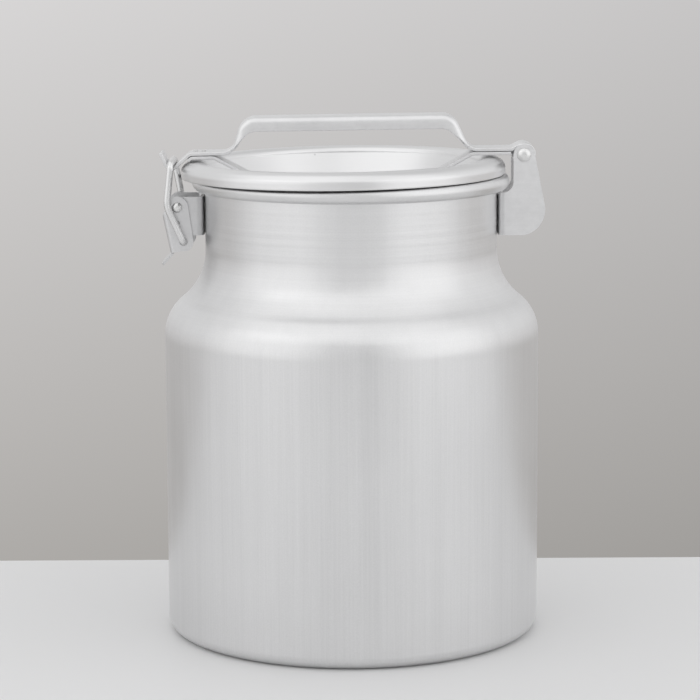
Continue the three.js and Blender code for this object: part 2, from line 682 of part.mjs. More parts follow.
const milkCan = new THREE.Group();
milkCan.add(can, lever, lid);

export default milkCan;
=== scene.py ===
"""A spun aluminium milk can with a clamped lid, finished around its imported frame.

Everything is in metres in the frame's own axes: +Z up, +X towards the hinge, -X towards the latch.
"""

import json
from collections import namedtuple
from math import acos, atan, ceil, cos, degrees, pi, radians, sin, sqrt, tan

import bmesh
import bpy
from mathutils import Matrix, Vector


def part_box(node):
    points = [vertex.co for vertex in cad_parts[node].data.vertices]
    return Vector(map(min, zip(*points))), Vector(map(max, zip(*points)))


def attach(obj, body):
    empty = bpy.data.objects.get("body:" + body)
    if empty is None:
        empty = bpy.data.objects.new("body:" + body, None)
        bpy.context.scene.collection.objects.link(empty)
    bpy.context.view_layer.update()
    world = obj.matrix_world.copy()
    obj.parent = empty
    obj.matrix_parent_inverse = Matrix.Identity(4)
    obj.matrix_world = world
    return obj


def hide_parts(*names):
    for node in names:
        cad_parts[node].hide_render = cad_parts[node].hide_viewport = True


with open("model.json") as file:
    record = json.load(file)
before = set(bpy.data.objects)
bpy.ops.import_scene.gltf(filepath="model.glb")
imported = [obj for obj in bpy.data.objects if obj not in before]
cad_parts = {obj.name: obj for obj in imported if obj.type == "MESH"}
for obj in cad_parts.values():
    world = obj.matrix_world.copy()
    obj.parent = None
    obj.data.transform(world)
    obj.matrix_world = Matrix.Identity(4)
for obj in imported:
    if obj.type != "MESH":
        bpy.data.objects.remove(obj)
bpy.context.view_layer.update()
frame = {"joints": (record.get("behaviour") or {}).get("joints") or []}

bl_info = {
    "name": "Milk can",
    "version": (1, 0, 0),
    "blender": (4, 5, 0),
    "location": "View3D > Sidebar > Milk can",
    "description": "Spins, folds and bends the pieces of an aluminium milk can",
    "category": "Add Mesh",
}

MM = 0.001
GAP = 0.3 * MM                # between pieces that touch
RUNNING = 0.3 * MM            # radial clearance of a hole round its pin
UP = Vector((0, 0, 1))
ACROSS = Vector((0, 1, 0))
RIGHT_ANGLE = pi / 2

Headed = namedtuple("Headed", "shank head low_rise high_rise")    # two radii, and how far each head rises
STRAP_PIP = Headed(1.2 * MM, 1.5 * MM, 0.5 * MM, 0.4 * MM)
BAR_RIVET = Headed(2.5 * MM, 4.6 * MM, 1.6 * MM, 2 * MM)
BRACKET_RIVET = Headed(2 * MM, 3.7 * MM, 1.1 * MM, 1.7 * MM)
HINGE_PIN = Headed(3 * MM, 4.2 * MM, 2.3 * MM, 2.3 * MM)
LEVER_PIN = Headed(2.2 * MM, 3.1 * MM, 1.9 * MM, 0)

# ---- places given by the frame ----
joint_at = {joint["name"]: Vector(joint["pos_m"]) for joint in frame["joints"]}
HINGE = joint_at["lid_hinge"]
LEVER = joint_at["lever_pivot"]
BAIL_EYE = joint_at["bail_pivot"]
BODY_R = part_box("can_body")[1].x
RIM_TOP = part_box("can_body")[1].z
WEB_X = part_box("hinge_bracket")[0].x
NECK_R = WEB_X - GAP
HINGE_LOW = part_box("hinge_bracket")[0].z
LATCH_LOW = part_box("latch_bracket")[0].z
BRACKET_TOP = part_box("latch_bracket")[1].z
HINGE_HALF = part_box("hinge_bracket")[1].y
LATCH_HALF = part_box("latch_bracket")[1].y
LEVER_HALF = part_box("latch_lever")[1].y
STRAP_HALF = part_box("cross_bar")[1].y
GRIP_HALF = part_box("handle_strap")[1].y
FLARE_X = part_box("hinge_bracket")[1].x


# ---- settings ----
def length(label, text, value):
    return bpy.props.FloatProperty(
        name=label, description=text, default=value, min=0.0, precision=5, unit="LENGTH")


def colour(label, text, value):
    return bpy.props.FloatVectorProperty(
        name=label, description=text, default=value, min=0.0, max=1.0, size=3, subtype="COLOR")


def share(label, text, value, high=1.0):
    return bpy.props.FloatProperty(
        name=label, description=text, default=value, min=0.0, max=high, subtype="FACTOR")


class CanSizes(bpy.types.PropertyGroup):
    """Sizes of the spun can."""
    wall: length("Wall", "Thickness of the spun sheet", 1.6 * MM)
    base_corner: length("Base corner", "Radius at the foot of the body", 8 * MM)
    shoulder_z: length("Shoulder height", "Top of the straight body", 184 * MM)
    neck_z: length("Neck height", "Bottom of the straight neck", 237 * MM)
    shoulder_corner: length("Shoulder corner", "Radius where the body turns in", 28 * MM)
    rim_tube: length("Rim roll", "Radius of the rolled rim's section", 4.65 * MM)


class LidSizes(bpy.types.PropertyGroup):
    """Sizes of the lid and its seal."""
    wall: length("Wall", "Thickness of the lid's sheet", 1.6 * MM)
    shift: length("Shift", "How far the lid sits towards the latch", 4.7 * MM)
    tilt: bpy.props.FloatProperty(
        name="Tilt", description="How much lower the lid sits at the latch", default=radians(0.6),
        subtype="ANGLE")
    rim: length("Rim radius", "Outer radius of the rim", 99 * MM)
    rim_height: length("Rim height", "Crown above the lower edge of the rim", 9.9 * MM)
    crown_in: length("Crown", "Top of the crown inside the rim's outer face", 9.4 * MM)
    outer_roll: length("Outer roll", "Fall of the crown's outer roll", 6.2 * MM)
    inner_roll: length("Inner roll", "Fall of the crown's inner roll", 4 * MM)
    dish_top: length("Dish mouth", "Radius of the dish at its top", 83.2 * MM)
    dish_floor: length("Dish floor", "Radius of the dish at its floor", 76 * MM)
    dish_depth: length("Dish depth", "Crown above the dish floor", 22 * MM)
    dish_corner: length("Dish corner", "Radius round the dish floor", 7 * MM)


class StrapSizes(bpy.types.PropertyGroup):
    """Sizes of the handle strap and the cross bar."""
    sheet: length("Sheet", "Strap thickness", 2 * MM)
    rise: length("Strap height", "Level part of the strap above the hinge pin", 3.25 * MM)
    grip_rise: length("Grip height", "Grip above the level part", 20.7 * MM)
    grip_left: length("Grip foot, latch side", "From the lid's rim to the foot of the grip", 32.5 * MM)
    grip_right: length("Grip foot, hinge side", "From the hinge pin to the foot of the grip", 33.6 * MM)
    flange: length("Flange depth", "Depth of the grip's folded edges", 8.4 * MM)
    flange_bend: length("Flange bend", "Bend radius of the folded edges", 2.6 * MM)
    curl: length("Curl", "Radius of the curl round the hinge sleeve", 6.2 * MM)
    hook_fillet: length("Hook fillet", "Bend radius in the bottom of the hook", 3.6 * MM)


class BracketSizes(bpy.types.PropertyGroup):
    """Sizes of the folded brackets, the lever, their pins and the bail."""
    sheet: length("Bracket sheet", "Thickness of the brackets", 2 * MM)
    lever_sheet: length("Lever sheet", "Thickness of the lever", 1.5 * MM)
    bend: length("Bracket bend", "Bend radius of the brackets", 3.6 * MM)
    lever_bend: length("Lever bend", "Bend radius of the lever", 2 * MM)
    ear: length("Ear", "Radius of the hinge ears", 6.45 * MM)
    wire: length("Bail wire", "Radius of the bail's wire", 2.15 * MM)


class Finishes(bpy.types.PropertyGroup):
    """Colours and gloss of the metals and the rubber."""
    spun: colour("Spun aluminium", "The can and its lid", (0.80, 0.80, 0.803))
    sheet: colour("Sheet aluminium", "Straps, brackets and lever", (0.80, 0.80, 0.804))
    # The latch's sheet is the same aluminium as the other sheet, its colour painted darker as shade on the
    # latch side.
    latch_shaded_sheet: colour("Latch sheet", "Latch bracket and lever, same sheet painted darker as shade", (0.69, 0.69, 0.695))
    rivet: colour("Rivets", "Rivets and pins", (0.82, 0.82, 0.815))
    wire: colour("Wire", "The bail", (0.80, 0.80, 0.80))
    rubber: colour("Rubber", "The lid seal", (0.06, 0.06, 0.061))
    spun_gloss: share("Spun roughness", "Roughness of the can and its lid", 0.36)
    sheet_gloss: share("Sheet roughness", "Roughness of the folded sheet", 0.4)


class StageSettings(bpy.types.PropertyGroup):
    """The table, the background and the lights."""
    table: colour("Table", "Colour of the table top", (0.77, 0.77, 0.772))
    low_wall: colour("Wall, low", "Background just above the table", (0.385, 0.372, 0.357))
    high_wall: colour("Wall, high", "Background well above the table", (0.635, 0.625, 0.625))
    room: colour("Room", "The room in front of the can and overhead", (0.72, 0.72, 0.723))
    key: share("Light", "Strength of the softboxes", 1.0, 4.0)


class MilkCanSettings(bpy.types.PropertyGroup):
    """Every setting of the milk can."""
    can: bpy.props.PointerProperty(type=CanSizes)
    lid: bpy.props.PointerProperty(type=LidSizes)
    straps: bpy.props.PointerProperty(type=StrapSizes)
    brackets: bpy.props.PointerProperty(type=BracketSizes)
    finishes: bpy.props.PointerProperty(type=Finishes)
    stage: bpy.props.PointerProperty(type=StageSettings)


# ---- outlines, as points in the XZ plane ----
def arc(x, z, r, start, end, step=5):
    """Points on a circle from one angle to another, in degrees."""
    return oval(x, z, r, r, start, end, step)


def oval(x, z, rx, rz, start, end, step=5):
    count = max(2, ceil(abs(end - start) / step))
    angles = [radians(start + (end - start) * i / count) for i in range(count + 1)]
    return [Vector((x + rx * cos(a), 0, z + rz * sin(a))) for a in angles]


def at(x, z, y=0.0):
    return Vector((x, y, z))


def rounded(points, radii, step=5):
    """A line of points with each inner corner bent round its radius."""
    line = [points[0]]
    for before, corner, after, r in zip(points, points[1:], points[2:], radii):
        back = (before - corner).normalized()
        on = (after - corner).normalized()
        half = back.angle(on) / 2
        centre = corner + (back + on).normalized() * (r / sin(half))
        spoke = corner + back * (r / tan(half)) - centre
        turn = pi - 2 * half
        count = max(1, ceil(degrees(turn) / step))
        axis = on.cross(back)
        line += [centre + Matrix.Rotation(turn * i / count, 3, axis) @ spoke for i in range(count + 1)]
    return line + [points[-1]]


# ---- making metal ----
def steadied(profile):
    """The same profile with a point close to each end of its long straight runs, so they shade flat."""
    close = 0.4 * MM
    long_run = 3 * MM
    steady = [profile[0]]
    for start, end in zip(profile, profile[1:]):
        along = end - start
        if along.length > long_run:
            step = along.normalized() * close
            steady += [start + step, end - step]
        steady.append(end)
    return steady


def spun(profile, steps):
    """Spin a profile that starts and ends on the Z axis, or closes on itself."""
    profile = steadied(profile)
    same_point = 0.002 * MM
    bm = bmesh.new()
    verts = [bm.verts.new(point) for point in profile]
    edges = [bm.edges.new(pair) for pair in zip(verts, verts[1:])]
    bmesh.ops.spin(
        bm, geom=verts + edges, cent=(0, 0, 0), axis=UP, angle=2 * pi, steps=steps, use_merge=True)
    bmesh.ops.remove_doubles(bm, verts=bm.verts, dist=same_point)
    bmesh.ops.dissolve_degenerate(bm, edges=bm.edges, dist=same_point)
    bmesh.ops.recalc_face_normals(bm, faces=bm.faces)
    return bm


def riveted(piece, height):
    """A rivet or pin up the Z axis with a domed head, marked by the punch, past each end."""
    def dome(z, rise, side):
        if rise == 0:
            return [at(0, z), at(piece.shank, z)]
        mark = piece.head * 0.16
        top = z + side * rise
        hollow = [at(0, top - side * rise * 0.12), at(mark, top - side * rise * 0.05)]
        return [*hollow, *oval(0, z, piece.head, side * rise, 76, 0, 8), at(piece.shank, z)]
    profile = dome(0, piece.low_rise, -1) + list(reversed(dome(height, piece.high_rise, 1)))
    return spun(profile, 48)


def ribbon(line, ys):
    """The middle surface of a strap: its side view pushed across the width. Each vertex keeps its row."""
    bm = bmesh.new()
    row = bm.verts.layers.int.new("row")
    verts = [bm.verts.new(point + ACROSS * ys[0]) for point in line]
    for i, vert in enumerate(verts):
        vert[row] = i
    edges = [bm.edges.new(pair) for pair in zip(verts, verts[1:])]
    for y, next_y in zip(ys, ys[1:]):
        grown = bmesh.ops.extrude_edge_only(bm, edges=edges)["geom"]
        edges = [part for part in grown if isinstance(part, bmesh.types.BMEdge)]
        verts = [part for part in grown if isinstance(part, bmesh.types.BMVert)]
        bmesh.ops.translate(bm, verts=verts, vec=ACROSS * (next_y - y))
    bmesh.ops.recalc_face_normals(bm, faces=bm.faces)
    return bm


def rolled(past, radius, limit, along, normal):
    """How far a point moves that lies past a bend line, when the sheet rolls round the bend."""
    turned = min(past / radius, limit)
    rest = past - turned * radius
    side = normal * (radius * (1 - cos(turned)) + rest * sin(turned))
    return along * (radius * sin(turned) + rest * cos(turned) - past) + side


def fold(bm, start, along, normal, radius, angle):
    """Cut bend lines across a flat blank and roll what lies past them round the bend."""
    lines = 8
    for i in range(lines + 1):
        here = start + along * (radius * angle * i / lines)
        geom = bm.verts[:] + bm.edges[:] + bm.faces[:]
        bmesh.ops.bisect_plane(bm, geom=geom, dist=0.001 * MM, plane_co=here, plane_no=along)
    for vert in bm.verts:
        past = (vert.co - start).dot(along)
        if past > 0:
            vert.co += rolled(past, radius, angle, along, normal)


def blank(half_outline, origin, up, holes=()):
    """A flat blank, mirrored about its middle. Outline and holes are across and up from the origin."""
    def place(point):
        return origin + ACROSS * point.x + up * point.z
    bm = bmesh.new()
    mirrored = [at(-p.x, p.z) for p in reversed(half_outline) if p.x > GAP]
    loops = [half_outline + mirrored]
    for x, z, r in holes:
        loops += [arc(side * x, z, r, 0, 360, 12)[:-1] for side in (-1, 1)]
    edges = []
    for loop in loops:
        verts = [bm.verts.new(place(point)) for point in loop]
        edges += [bm.edges.new(pair) for pair in zip(verts, verts[1:] + verts[:1])]
    bmesh.ops.triangle_fill(bm, use_beauty=True, edges=edges, normal=up.cross(ACROSS))
    bmesh.ops.recalc_face_normals(bm, faces=bm.faces)
    return bm


def unrolled(depth, half, radius):
    """Distance along the blank to a point at this depth from the web's middle, in a channel."""
    flat = half - radius
    if depth >= radius:
        return flat + radius * RIGHT_ANGLE + depth - radius
    return flat + radius * acos(1 - max(depth, 0.0) / radius)


def channel(half_outline, origin, up, into, half, radius, holes=()):
    """Fold a blank into a U whose web lies in the plane through the origin."""
    bm = blank(half_outline, origin, up, holes)
    for side in (-1, 1):
        fold(bm, origin + ACROSS * (side * (half - radius)), ACROSS * side, into, radius, RIGHT_ANGLE)
    return bm


def drawn(path, radius, sides=24):
    """Round wire along a path, its ends cut square and eased."""
    bm = bmesh.new()
    heading = (path[1] - path[0]).normalized()
    turn = UP.rotation_difference(heading).to_matrix().to_4x4()
    bmesh.ops.create_circle(bm, radius=radius, segments=sides, matrix=Matrix.Translation(path[0]) @ turn)
    edges = first = bm.edges[:]
    for here, there, beyond in zip(path, path[1:], path[2:] + path[-1:]):
        grown = bmesh.ops.extrude_edge_only(bm, edges=edges)["geom"]
        edges = [part for part in grown if isinstance(part, bmesh.types.BMEdge)]
        ring = [part for part in grown if isinstance(part, bmesh.types.BMVert)]
        new_heading = ((there - here).normalized() + (beyond - there).normalized()).normalized()
        turn = heading.rotation_difference(new_heading).to_matrix().to_4x4()
        move = Matrix.Translation(there) @ turn @ Matrix.Translation(-here)
        bmesh.ops.transform(bm, matrix=move, verts=ring)
        heading = new_heading
    bmesh.ops.holes_fill(bm, edges=first + edges, sides=0)
    bmesh.ops.recalc_face_normals(bm, faces=bm.faces)
    return bm


def finished(bm, name, body, slot, nodes, sheet=0.0, edge=0.0, look=None):
    """Turn a bmesh into a piece: its thickness and eased edges, its finish, and what it rides on."""
    material = finish(look or f"{slot} finish")
    mesh = bpy.data.meshes.new(name)
    for face in bm.faces:
        face.smooth = True
    bm.to_mesh(mesh)
    bm.free()
    piece = bpy.data.objects.new(name, mesh)
    bpy.context.scene.collection.objects.link(piece)
    mesh.materials.append(material)
    if sheet:
        wall = piece.modifiers.new("sheet", "SOLIDIFY")
        wall.thickness = sheet
        wall.offset = 0.0
        wall.use_even_offset = True
    if edge:
        ease = piece.modifiers.new("eased edges", "BEVEL")
        ease.width = edge
        ease.segments = 3
        ease.limit_method = "ANGLE"
        ease.angle_limit = radians(42)
        ease.harden_normals = True
    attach(piece, body)
    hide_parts(*nodes)
    return piece


# ---- shader maths ----
class Amount:
    """A shader socket that can be added, subtracted, multiplied and raised to a power like a number."""

    def __init__(self, paint, socket):
        self.paint = paint
        self.socket = socket

    def maths(self, operation, first, second):
        return self.paint.add("ShaderNodeMath", {"operation": operation}, {0: first, 1: second})

    def __add__(self, other):
        return self.maths("ADD", self, other)

    def __radd__(self, other):
        return self.maths("ADD", other, self)

    def __sub__(self, other):
        return self.maths("SUBTRACT", self, other)

    def __rsub__(self, other):
        return self.maths("SUBTRACT", other, self)

    def __mul__(self, other):
        return self.maths("MULTIPLY", self, other)

    def __rmul__(self, other):
        return self.maths("MULTIPLY", other, self)

    def __pow__(self, other):
        return self.maths("POWER", self, other)


class Paint:
    """One procedural finish, made on the piece's own coordinates."""

    def __init__(self, name, metallic=1.0, anisotropic=0.0):
        self.looks = bpy.context.scene.milk_can.finishes
        self.material = bpy.data.materials.new(name)
        self.material.use_nodes = True
        self.tree = self.material.node_tree
        self.shader = self.tree.nodes["Principled BSDF"]
        self.shader.inputs["Metallic"].default_value = metallic
        self.shader.inputs["Anisotropic"].default_value = anisotropic
        self.place = self.add("ShaderNodeTexCoord", out="Object")

    def add(self, kind, settings=None, values=None, out=0):
        """A node of a type, its settings, the values or links of its sockets, and the output wanted."""
        node = self.tree.nodes.new(kind)
        for key, value in (settings or {}).items():
            setattr(node, key, value)
        for key, value in (values or {}).items():
            if isinstance(value, Amount):
                self.tree.links.new(value.socket, node.inputs[key])
            else:
                node.inputs[key].default_value = value
        return Amount(self, node.outputs[out])

    def stretched(self, scale, centre=(0, 0, 0)):
        moved = [-c * s for c, s in zip(centre, scale)]
        return self.add("ShaderNodeMapping", None, {"Vector": self.place, "Location": moved, "Scale": scale})

    def noise(self, vector, scale=1.0, detail=2.0, roughness=0.5):
        """Noise from 0 to 1 about a mean of one half."""
        values = {"Vector": vector, "Scale": scale, "Detail": detail, "Roughness": roughness}
        return self.add("ShaderNodeTexNoise", None, values)

    def between(self, amount, low, high):
        """0 below low, 1 above high, and smooth between."""
        settings = {"interpolation_type": "SMOOTHSTEP"}
        return self.add("ShaderNodeMapRange", settings, {"Value": amount, "From Min": low, "From Max": high})

    def blend(self, amount, first, second):
        """Two amounts mixed by a third."""
        return first * (1 - amount) + second * amount

    def height(self, centre=(0, 0, 0)):
        """Radius and height about an upright axis."""
        moved = self.stretched((1, 1, 1), centre)
        apart = self.tree.nodes.new("ShaderNodeSeparateXYZ")
        self.tree.links.new(moved.socket, apart.inputs[0])
        x, y, z = (Amount(self, socket) for socket in apart.outputs)
        return (x * x + y * y) ** 0.5, z

    def rings(self, radius, z, spacing, detail=2.0):
        """Turning marks: noise that only changes with radius and height."""
        vector = self.add("ShaderNodeCombineXYZ", None, {0: radius, 1: z})
        return self.noise(vector, 1 / spacing, detail)

    def about(self, middle, *swings):
        """A value that noises swing to either side of its middle, each by its own amount."""
        for noise, amount in swings:
            middle = middle + (noise - 0.5) * amount
        return middle

    def specks(self, scale, core, edge):
        """Scattered round spots: 1 in the middle of each and 0 between them."""
        cells = self.add("ShaderNodeTexVoronoi", None, {"Vector": self.place, "Scale": scale})
        return 1 - self.between(cells, core, edge)

    def tint(self, base, amount):
        """The base colour, lighter or darker by an amount round 1."""
        grey = self.add("ShaderNodeCombineXYZ", None, {0: amount, 1: amount, 2: amount})
        return self.add("ShaderNodeVectorMath", {"operation": "MULTIPLY"}, {0: grey, 1: tuple(base)})

    def relief(self, height, depth):
        return self.add("ShaderNodeBump", None, {"Strength": 1.0, "Distance": depth, "Height": height})

    def done(self, **sockets):
        for name, value in sockets.items():
            key = name.replace("_", " ").title()
            if isinstance(value, Amount):
                self.tree.links.new(value.socket, self.shader.inputs[key])
            else:
                self.shader.inputs[key].default_value = value
        return self.material


# ---- finishes: scales are per metre, and noises swing by the amounts beside them ----
def can_finish(name):
    """Satin spun sheet: brushed upright on the body, turned on the shoulder and neck."""
    size = bpy.context.scene.milk_can.can
    paint = Paint(name, anisotropic=0.35)
    radius, z = paint.height()
    brush = paint.noise(paint.stretched((900, 900, 9)), detail=3, roughness=0.6)
    streak = paint.noise(paint.stretched((170, 170, 2.2)), detail=2)
    cloud = paint.noise(paint.place, 14, 3)
    fine = paint.rings(radius, z, 0.9 * MM, 3)
    coarse = paint.rings(radius, z, 4.5 * MM, 1)
    turned = paint.between(z, size.shoulder_z - 4 * MM, size.shoulder_z + 26 * MM)
    neck = paint.between(z, size.neck_z - 14 * MM, size.neck_z + 4 * MM)
    marks = paint.blend(turned, brush, fine * 0.6 + coarse * 0.4)
    nick = paint.specks(26, 0.012, 0.03)
    grain = paint.noise(paint.place, 1300, 2)
    tone = paint.about(0.955, (marks, 0.12), (streak, 0.07), (cloud, 0.09), (grain, 0.10))
    relief = marks * 0.7 + coarse * neck * 3.2 + streak * 0.6 + grain * 0.5 - nick * 1.2
    return paint.done(
        base_color=paint.tint(paint.looks.spun, tone - nick * 0.10),
        roughness=paint.about(paint.looks.spun_gloss, (marks, 0.16), (streak, 0.08), (cloud, 0.10)),
        normal=paint.relief(relief, 0.035 * MM),
    )


def lid_finish(name):
    """The lid's spun sheet: fine rings, and small nicks from handling round the rim."""
    size = bpy.context.scene.milk_can.lid
    paint = Paint(name, anisotropic=0.3)
    radius, z = paint.height((-size.shift, 0, 0))
    fine = paint.rings(radius, z, 0.7 * MM, 3)
    coarse = paint.rings(radius, z, 3.5 * MM, 1)
    cloud = paint.noise(paint.place, 22, 3)
    scuff = paint.noise(paint.stretched((300, 300, 90)), detail=3, roughness=0.7)
    nick = paint.specks(34, 0.014, 0.034)
    marks = fine * 0.55 + coarse * 0.25 + scuff * 0.2
    smoother = 0.04
    tone = paint.about(0.985, (marks, 0.08), (cloud, 0.05))
    return paint.done(
        base_color=paint.tint(paint.looks.spun, tone - nick * 0.22),
        roughness=paint.about(paint.looks.spun_gloss - smoother, (marks, 0.14), (cloud, 0.10)),
        normal=paint.relief(fine * 0.5 + coarse * 0.6 + scuff * 0.4 - nick * 2.0, 0.03 * MM),
    )


def sheet_finish(name):
    """Rolled sheet, tumbled after cutting: soft mottling and short rubbed scratches."""
    paint = Paint(name)
    # The latch bracket and lever take the darker copy of the sheet colour: painted shade, not a different
    # metal.
    shade = paint.looks.latch_shaded_sheet if name.startswith("latch") else paint.looks.sheet
    mottle = paint.noise(paint.place, 260, 3, 0.6)
    cloud = paint.noise(paint.place, 45, 2)
    rub = paint.noise(paint.stretched((60, 900, 500)), detail=3, roughness=0.65)
    pit = paint.specks(190, 0.04, 0.12)
    tone = paint.about(0.98, (mottle, 0.13), (cloud, 0.12), (rub, 0.09))
    return paint.done(
        base_color=paint.tint(shade, tone - pit * 0.05),
        roughness=paint.about(paint.looks.sheet_gloss, (mottle, 0.12), (rub, 0.16)),
        normal=paint.relief(mottle * 0.8 + rub * 0.5 - pit * 0.5, 0.03 * MM),
    )


def rivet_finish(name):
    """Cold headed aluminium, bright from the snap."""
    paint = Paint(name)
    mottle = paint.noise(paint.place, 700, 3, 0.6)
    dent = paint.noise(paint.place, 380, 1)
    return paint.done(
        base_color=paint.tint(paint.looks.rivet, paint.about(0.97, (mottle, 0.10))),
        roughness=paint.about(0.30, (mottle, 0.2)),
        normal=paint.relief(mottle * 0.4 + dent * 1.2, 0.06 * MM),
    )


def wire_finish(name):
    """Drawn wire, bright, with fine lines that run upright as its legs do."""
    paint = Paint(name)
    line = paint.noise(paint.stretched((1600, 1600, 70)), detail=2)
    cloud = paint.noise(paint.place, 90, 2)
    return paint.done(
        base_color=paint.tint(paint.looks.wire, paint.about(0.97, (line, 0.08), (cloud, 0.06))),
        roughness=paint.about(0.26, (line, 0.14), (cloud, 0.10)),
        normal=paint.relief(line * 0.3 + cloud * 0.5, 0.012 * MM),
    )


def rubber_finish(name):
    """Matt moulded rubber with a little bloom."""
    paint = Paint(name, metallic=0.0)
    bloom = paint.noise(paint.place, 60, 3)
    grain = paint.noise(paint.place, 1500, 2)
    return paint.done(
        base_color=paint.tint(paint.looks.rubber, 0.8 + bloom * 0.6),
        roughness=paint.about(0.62, (bloom, 0.25)),
        normal=paint.relief(grain, 0.03 * MM),
    )


FINISHES = {
    "spun can": can_finish,
    "spun lid": lid_finish,
    "sheet_aluminium finish": sheet_finish,
    "latch_shaded_sheet finish": sheet_finish,
    "rivet finish": rivet_finish,
    "wire finish": wire_finish,
    "rubber finish": rubber_finish,
}


def finish(name):
    """A material by name, made the first time it is asked for."""
    return bpy.data.materials.get(name) or FINISHES[name](name)


# ---- the can ----
def shoulder(size, inset):
    """The S of the shoulder: a round corner off the body and a hollow bend into the neck."""
    drop = size.neck_z - size.shoulder_z
    turn = 2 * atan((BODY_R - NECK_R) / drop)
    bend = drop / sin(turn) - size.shoulder_corner
    up = degrees(turn)
    corner = arc(BODY_R - size.shoulder_corner, size.shoulder_z, size.shoulder_corner - inset, 0, up, 3)
    hollow = arc(NECK_R + bend, size.neck_z, bend + inset, 180 + up, 180, 3)
    return corner + hollow


def can_profile(size):
    """Up the outside from the middle of the base, over the rolled rim and down the inside."""
    inner = NECK_R - size.wall
    rim_r = inner + size.rim_tube
    rim_z = RIM_TOP - size.rim_tube
    roll_start = -degrees(acos((NECK_R - rim_r) / size.rim_tube))
    corner = size.base_corner
    outside = [
        at(0, 0),
        *arc(BODY_R - corner, corner, corner, -90, 0),
        *shoulder(size, 0),
        *arc(rim_r, rim_z, size.rim_tube, roll_start, 180),
    ]
    inside = [
        at(inner, size.neck_z),
        *list(reversed(shoulder(size, size.wall)))[1:],
        *arc(BODY_R - corner, corner, corner - size.wall, 0, -90),
        at(0, size.wall),
    ]
    return outside + inside


class MILKCAN_OT_can(bpy.types.Operator):
    """Spin the can with its shoulder, neck and rolled rim"""
    bl_idname = "milkcan.can"
    bl_label = "Can"

    def execute(self, context):
        bm = spun(can_profile(context.scene.milk_can.can), 224)
        finished(bm, "can", "can", "spun_aluminium", ["can_body"], look="spun can")
        return {"FINISHED"}


# ---- the lid ----
DISH_WALL_LEAN = 18           # the dish's wall leans out from upright, in degrees
SEAL_IN = 3.5 * MM            # seal's inner edge outside the dish
SEAL_EDGE = 1.4 * MM          # and its outer edge inside the rim's wall
SEAL_ROOF = 0.8 * MM          # seal below the crown's sheet
SEAL_LIP = 3.2 * MM           # width of the seal's sloping outer shoulder
SEAL_LIP_FALL = 3.4 * MM      # how far the shoulder falls at the edge
SEAL_CAMBER_OUT = 0.6 * MM    # fall of the seal's top outside the crown
SEAL_CAMBER_IN = 0.8 * MM     # and inside it


def lid_turn(size):
    """From the lid as drawn level to the lid as it sits, turned a little about the hinge pin."""
    return Matrix.Translation(HINGE) @ Matrix.Rotation(-size.tilt, 4, "Y") @ Matrix.Translation(-HINGE)


def lid_levels(size):
    """Heights of the rim's lower edge, the crown and the dish floor in the level lid."""
    rim_z = RIM_TOP + GAP + (HINGE.x - size.rim + size.shift) * sin(size.tilt)
    crown_z = rim_z + size.rim_height
    return rim_z, crown_z, crown_z - size.dish_depth


def lid_profile(size):
    """Over the dish, the crown and the rim, and back under them."""
    rim_z, crown_z, floor_z = lid_levels(size)
    crown_r = size.rim - size.crown_in
    mouth = crown_r - size.dish_top
    floor_r = size.dish_floor - size.dish_corner
    floor_bend_z = floor_z + size.dish_corner
    inner_z = crown_z - size.inner_roll
    outer_z = crown_z - size.outer_roll
    wall = size.wall
    hem = 0.5 * MM
    top = [
        at(0, floor_z),
        *arc(floor_r, floor_bend_z, size.dish_corner, -90, -DISH_WALL_LEAN),
        *oval(crown_r, inner_z, mouth, size.inner_roll, 180, 90),
        *oval(crown_r, outer_z, size.crown_in, size.outer_roll, 90, 0, 4)[1:],
        *arc(size.rim - hem, rim_z + hem, hem, 0, -90, 30),
    ]
    under = [
        *arc(size.rim - wall + hem, rim_z + hem, hem, -90, -180, 30),
        *oval(crown_r, outer_z, size.crown_in - wall, size.outer_roll - wall, 0, 90),
        *oval(crown_r, inner_z, mouth - wall, size.inner_roll - wall, 90, 180)[1:],
        *arc(floor_r, floor_bend_z, size.dish_corner + wall, -DISH_WALL_LEAN, -90),
        at(0, floor_z - wall),
    ]
    return top + under


def seal_profile(size):
    """The rubber ring that fills the crown, closed on itself and long enough below to be cut level."""
    rim_z, crown_z, _ = lid_levels(size)
    crown_r = size.rim - size.crown_in
    inner = size.dish_top + SEAL_IN
    outer = size.rim - size.wall - SEAL_EDGE
    roof = crown_z - size.wall - SEAL_ROOF
    below_the_cut = rim_z - 6 * MM
    return [
        at(inner, below_the_cut),
        at(outer, below_the_cut),
        at(outer, roof - SEAL_LIP_FALL),
        at(crown_r + SEAL_LIP, roof - SEAL_CAMBER_OUT),
        at(crown_r, roof),
        at(inner, roof - SEAL_CAMBER_IN),
        at(inner, below_the_cut),
    ]


class MILKCAN_OT_lid(bpy.types.Operator):
    """Spin the dished lid and its rubber seal, and press the seal level on the rim"""
    bl_idname = "milkcan.lid"
    bl_label = "Lid and seal"

    def execute(self, context):
        size = context.scene.milk_can.lid
        place = lid_turn(size) @ Matrix.Translation((-size.shift, 0, 0))
        shell = spun(lid_profile(size), 224)
        shell.transform(place)
        finished(shell, "lid", "lid", "spun_aluminium", ["lid_shell"], look="spun lid")
        ring = spun(seal_profile(size), 128)
        ring.transform(place)
        geom = ring.verts[:] + ring.edges[:] + ring.faces[:]
        cut = bmesh.ops.bisect_plane(
            ring, geom=geom, plane_co=(0, 0, RIM_TOP + GAP), plane_no=UP, clear_inner=True)["geom_cut"]
        bmesh.ops.bridge_loops(ring, edges=[part for part in cut if isinstance(part, bmesh.types.BMEdge)])
        bmesh.ops.recalc_face_normals(ring, faces=ring.faces)
        finished(ring, "seal", "lid", "rubber", ["lid_seal"], edge=0.4 * MM)
        return {"FINISHED"}


